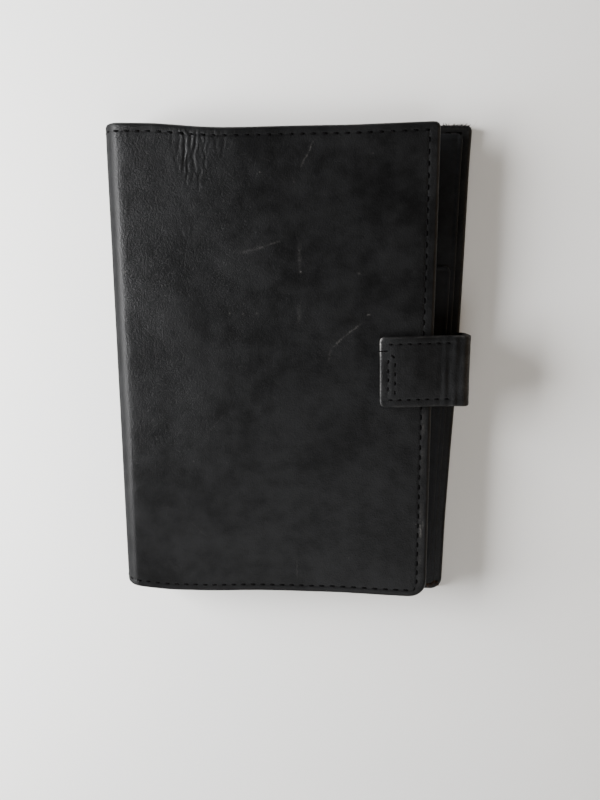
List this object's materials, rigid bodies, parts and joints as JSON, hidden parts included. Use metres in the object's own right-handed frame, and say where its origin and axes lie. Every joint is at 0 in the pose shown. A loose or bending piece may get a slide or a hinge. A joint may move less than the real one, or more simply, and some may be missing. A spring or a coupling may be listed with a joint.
{
  "type": "travel document organizer",
  "caption": "Black leather bifold organizer for a passport, tickets and cards, closed by a snap tab that wraps over its free edges.",
  "frame": {"origin": "centre of the closed organizer's footprint, on the surface it lies on", "axes": "+X from the spine to the snap tab, +Y up the covers, +Z out of the front cover"},
  "size_m": [0.113, 0.1512, 0.0157],
  "materials": {
    "black_leather": "satin",
    "skived_leather": "matte",
    "lining_fabric": "matte",
    "stiffener_board": "matte",
    "black_thread": "matte",
    "snap_metal": "satin",
    "spring_brass": "satin"
  },
  "bodies": {
    "back_cover": {"back_cover_leather": "black_leather", "back_cover_stiffener": "stiffener_board", "back_cover_lining": "lining_fabric", "back_cover_thread": "black_thread", "ticket_pocket_panel": "black_leather", "passport_pocket_panel": "black_leather", "tab_anchor": "skived_leather"},
    "spine": {"spine_leather": "black_leather", "spine_stay": "stiffener_board", "spine_lining": "lining_fabric"},
    "front_cover": {"front_cover_leather": "black_leather", "front_cover_stiffener": "stiffener_board", "front_cover_lining": "lining_fabric", "front_cover_thread": "black_thread", "slip_pocket_panel": "black_leather", "card_slot_1": "black_leather", "card_slot_2": "black_leather", "card_slot_3": "black_leather", "card_slot_4": "black_leather", "snap_stud": "snap_metal", "snap_stud_post": "snap_metal"},
    "tab_riser": {"tab_riser_lining": "black_leather", "tab_riser_leather": "black_leather"},
    "tab_flap": {"tab_flap_lining": "black_leather", "tab_flap_leather": "black_leather", "tab_thread": "black_thread", "snap_socket": "snap_metal", "snap_ring_spring": "spring_brass", "snap_cap": "snap_metal"}
  },
  "joints": [
    {"name": "spine_fold", "type": "hinge", "parent": "back_cover", "child": "spine", "pos_m": [-0.05452, 0, 0.002], "axis": [0, -1, 0], "range_deg": [0, 90]},
    {"name": "front_cover_fold", "type": "hinge", "parent": "spine", "child": "front_cover", "pos_m": [-0.05452, 0, 0.011], "axis": [0, -1, 0], "range_deg": [0, 90]},
    {"name": "tab_riser_fold", "type": "hinge", "parent": "back_cover", "child": "tab_riser", "pos_m": [0.05477, 0, 0.00245], "axis": [0, 1, 0], "range_deg": [0, 90]},
    {"name": "tab_flap_fold", "type": "hinge", "parent": "tab_riser", "child": "tab_flap", "pos_m": [0.05477, 0, 0.0139], "axis": [0, 1, 0], "range_deg": [0, 90]}
  ],
  "couplings": [
    {"joint": "spine_fold", "follows": "front_cover_fold", "ratio": 1}
  ]
}
